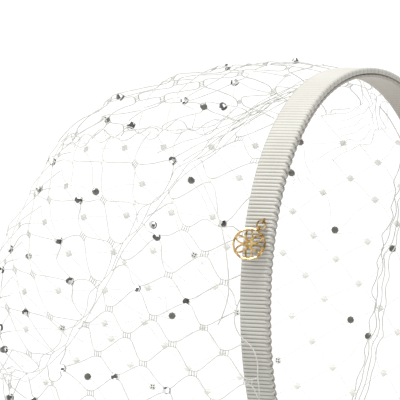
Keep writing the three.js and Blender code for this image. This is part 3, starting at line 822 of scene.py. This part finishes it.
extra = []
for k in rng.permutation(len(knot_points)):
    p = knot_points[k]
    nearest = np.min(np.linalg.norm(np.vstack([stone_at] + extra) - p, axis=1))
    if nearest > EXTRA_APART and len(extra) < EXTRA_COUNT:
        extra.append(p)
small, small_cups = [], []
for p, n in zip(extra, normal_at(np.array(extra))):
    seat = p + n * EXTRA_SEAT
    small.append(ring_solid([(1.2, 0.05), (1.25, 0.4), (0.72, 1.35)], 8, seat, n, rng.uniform(0, 1)))
    small_cups.append(ring_solid([(0.5, -0.5), (1.05, -0.3), (1.15, 0.0)], 12, seat, n))
finish_piece(mesh_object("small_stones", *gathered(small), stone_mat, False), "stones")
finish_piece(mesh_object("small_stone_cups", *gathered(small_cups), cup_mat, False), "headband_core")


# Ribbons with raised cross ribs and a scalloped rear edge

def arch(turn, depth):
    """Place and outward direction, as (x, z), at a turn from the top and a depth under the outer face."""
    def outer(t):
        s, c = math.sin(t), math.cos(t)
        if c < 0:
            return np.array([BAND_HALF_WIDTH * s, WIDEST_Z + BAND_FALL * c])
        return np.array([math.copysign(BAND_HALF_WIDTH * abs(s) ** (2 / BAND_POWER), s),
                         WIDEST_Z + BAND_RISE * c ** (2 / BAND_POWER)])

    along = outer(turn + 0.002) - outer(turn - 0.002)
    along /= np.linalg.norm(along)
    out = np.array([-along[1], along[0]])
    return outer(turn) - out * depth, out


def ribbon_width(z):
    share = min(max((BAND_WALL - z) / (BAND_WALL - TIP_Z), 0), 1)
    return RIBBON_WIDTH_TOP + (RIBBON_WIDTH_TIP - RIBBON_WIDTH_TOP) * share


def ribbon(name, depth, ribs_out, relief, scallop, phase, mat):
    """A ribbon along the band, ribbed on its outer or its inner face. Gives the piece and its length."""
    turns = np.linspace(-ARM_TURN, ARM_TURN, 1400)
    mid = np.array([arch(t, depth + RIBBON_WALL / 2)[0] for t in turns])
    s = np.concatenate([[0], np.cumsum(np.linalg.norm(np.diff(mid, axis=0), axis=1))])
    ribs = int(s[-1] / RIB_PITCH)
    pitch = s[-1] / ribs
    sections = np.linspace(0, s[-1], ribs * 6 + 1)
    verts, faces, rib = [], [], []
    curl = REAR_CURL if ribs_out else []
    per = 2 * len(ACROSS) + 2 * len(curl) - (1 if curl else 0)
    for d in sections:
        t = float(np.interp(d, s, turns))
        base, out = arch(t, depth)
        width = ribbon_width(base[1])
        swell = 1 - (0.5 - 0.5 * math.cos(2 * math.pi * d / pitch)) ** RIB_POWER
        calm = TOP_CALM + (1 - TOP_CALM) * eased(min(max((abs(t) - CALM_TURN) / CALM_FADE, 0), 1))
        # The rib tone picks the ribbon's colour: low in the grooves for painted shade, high on the crests
        # for painted light
        tone = TOP_TONE + (swell - TOP_TONE) * calm
        swell = 1 - (1 - swell) * calm
        bite = abs(math.sin(math.pi * d / (2 * pitch) + phase)) ** SCALLOP_POWER
        bite = (CALM_SCALLOP + (1 - CALM_SCALLOP) * calm) * scallop * (bite - SCALLOP_LEVEL)
        drift = DRIFT * math.sin(d / DRIFT_LENGTH + phase * 7)
        rear = width / 2 + bite
        front = -width / 2 - FRONT_RIPPLE * swell

        def add_face(start, inwards, ribbed, places):
            """One row of points across a face, sunk between ribs and rounded off at the edges."""
            for place in places:
                edge = 1 - max(0, abs(place) - EDGE_START) / (1 - EDGE_START) * EDGE_ROUND
                sink = PLAIN_EDGE * (1 - edge)
                if ribbed:
                    sink = RIBBED_EDGE * (1 - edge) + relief * (1 - swell) * edge
                p = start + inwards * sink
                verts.append((p[0], front + (rear - front) * (place + 1) / 2 + drift, p[1]))
                rib.append(tone if ribbed else PLAIN_TONE)

        add_face(base, -out, ribs_out, ACROSS)
        for back, down in curl + [(back - CURL_WALL, down) for back, down in reversed(curl)]:
            p = base - out * down
            verts.append((p[0], rear + back + drift, p[1]))
            rib.append(tone)
        inner, _ = arch(t, depth + RIBBON_WALL)
        add_face(inner, out, not ribs_out, reversed(ACROSS[:-1] if curl else ACROSS))
    for k in range(len(sections) - 1):
        a = k * per
        faces.extend([(a + m, a + per + m, a + per + (m + 1) % per, a + (m + 1) % per) for m in range(per)])
    faces.append(tuple(range(per)))
    last = (len(sections) - 1) * per
    faces.append(tuple(last + m for m in reversed(range(per))))
    obj = mesh_object(name, verts, faces, mat)
    # Each point's rib tone, which the ribbon's material turns into painted groove shade and crest light
    attribute = obj.data.attributes.new("rib", "FLOAT", "POINT")
    attribute.data.foreach_set("value", np.array(rib, np.float32))
    return obj, s[-1]


face, face_length = ribbon(
    "ribbon_face", depth=0.0, ribs_out=True, relief=0.3, scallop=0.8, phase=0.3, mat=ribbon_mat)
finish_piece(face, "ribbon_outer", "ribbon_outer")
back, back_length = ribbon(
    "ribbon_back", depth=LINING_DEPTH, ribs_out=False, relief=0.26, scallop=0.6, phase=1.1, mat=lining_mat)
finish_piece(back, "ribbon_lining", "ribbon_lining")

# Better materials for the nodes of the part that stay
node_materials = {"headband_core": core_mat, "charm": gold_mat, "jump_ring": gold_mat, "sewn_loop": gold_mat}
node_materials.update({name: stone_mat for name in stone_nodes})
for name, mat in node_materials.items():
    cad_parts[name].data.materials.clear()
    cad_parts[name].data.materials.append(mat)


# Floor with its wall, light and camera

FLOOR_DROP, FLOOR_HALF, SWEEP_RADIUS, WALL_RISE = -420.0, 2600.0, 900, 4200
floor_mat, tree, shader = material("studio_floor", 0.9, spec=0.1)
noise_colour(tree, shader, 3, [(0.3, (0.6, 0.6, 0.6)), (0.7, (0.62, 0.62, 0.62))])
shader.inputs["Emission Color"].default_value = (1, 1, 1, 1)
shader.inputs["Emission Strength"].default_value = 0.45
sweep = [(-FLOOR_HALF, FLOOR_DROP)]
sweep += [(FLOOR_HALF + SWEEP_RADIUS * math.sin(a), FLOOR_DROP + SWEEP_RADIUS * (1 - math.cos(a)))
          for a in np.linspace(0, math.pi / 2, 12)]
sweep.append((sweep[-1][0], FLOOR_DROP + WALL_RISE))
n = len(sweep)
verts = [(x, y, z) for x in (-FLOOR_HALF * 2, FLOOR_HALF * 2) for y, z in sweep]
faces = [(k, k + 1, n + k + 1, n + k) for k in range(n - 1)]
floor = mesh_object("studio_sweep", verts, faces, floor_mat)
floor.rotation_euler = (0, 0, AZIMUTH)

world = bpy.data.worlds.new("studio")
bpy.context.scene.world = world
world.use_nodes = True
world.node_tree.nodes["Background"].inputs[0].default_value = (1, 1, 1, 1)
world.node_tree.nodes["Background"].inputs[1].default_value = 1.0


def light(name, size, power, place):
    """A round area light that faces the target."""
    data = bpy.data.lights.new(name, "AREA")
    data.shape, data.size, data.energy = "DISK", size, power
    obj = bpy.data.objects.new(name, data)
    obj.location = place
    obj.rotation_euler = (TARGET - place).to_track_quat("-Z", "Y").to_euler()
    bpy.context.scene.collection.objects.link(obj)


to_camera = Vector((math.sin(AZIMUTH) * math.cos(ELEVATION), -math.cos(AZIMUTH) * math.cos(ELEVATION),
                    math.sin(ELEVATION)))
right = Vector((math.cos(AZIMUTH), math.sin(AZIMUTH), 0))
above = to_camera.cross(right)
image_right = math.cos(ROLL) * right + math.sin(ROLL) * above
image_up = -math.sin(ROLL) * right + math.cos(ROLL) * above
light("overhead", 0.7, 22, TARGET + to_camera * 0.25 - image_right * 0.2 + Vector((0, 0, 1.2)))
light("front", 0.9, 0.8, TARGET + to_camera * 0.9 - image_right * 0.7 + image_up * 0.4)

camera_data = bpy.data.cameras.new("camera")
camera_data.sensor_width = SENSOR
camera_data.lens = FOCAL_PIXELS / PHOTO_PIXELS * SENSOR
camera_data.clip_start, camera_data.clip_end = 0.05, 20
camera = bpy.data.objects.new("camera", camera_data)
bpy.context.scene.collection.objects.link(camera)
camera.matrix_world = Matrix.Translation(TARGET + to_camera * DISTANCE) @ Matrix(
    (image_right, image_up, to_camera)).transposed().to_4x4()
bpy.context.scene.camera = camera
bpy.context.scene.view_settings.view_transform = "Standard"
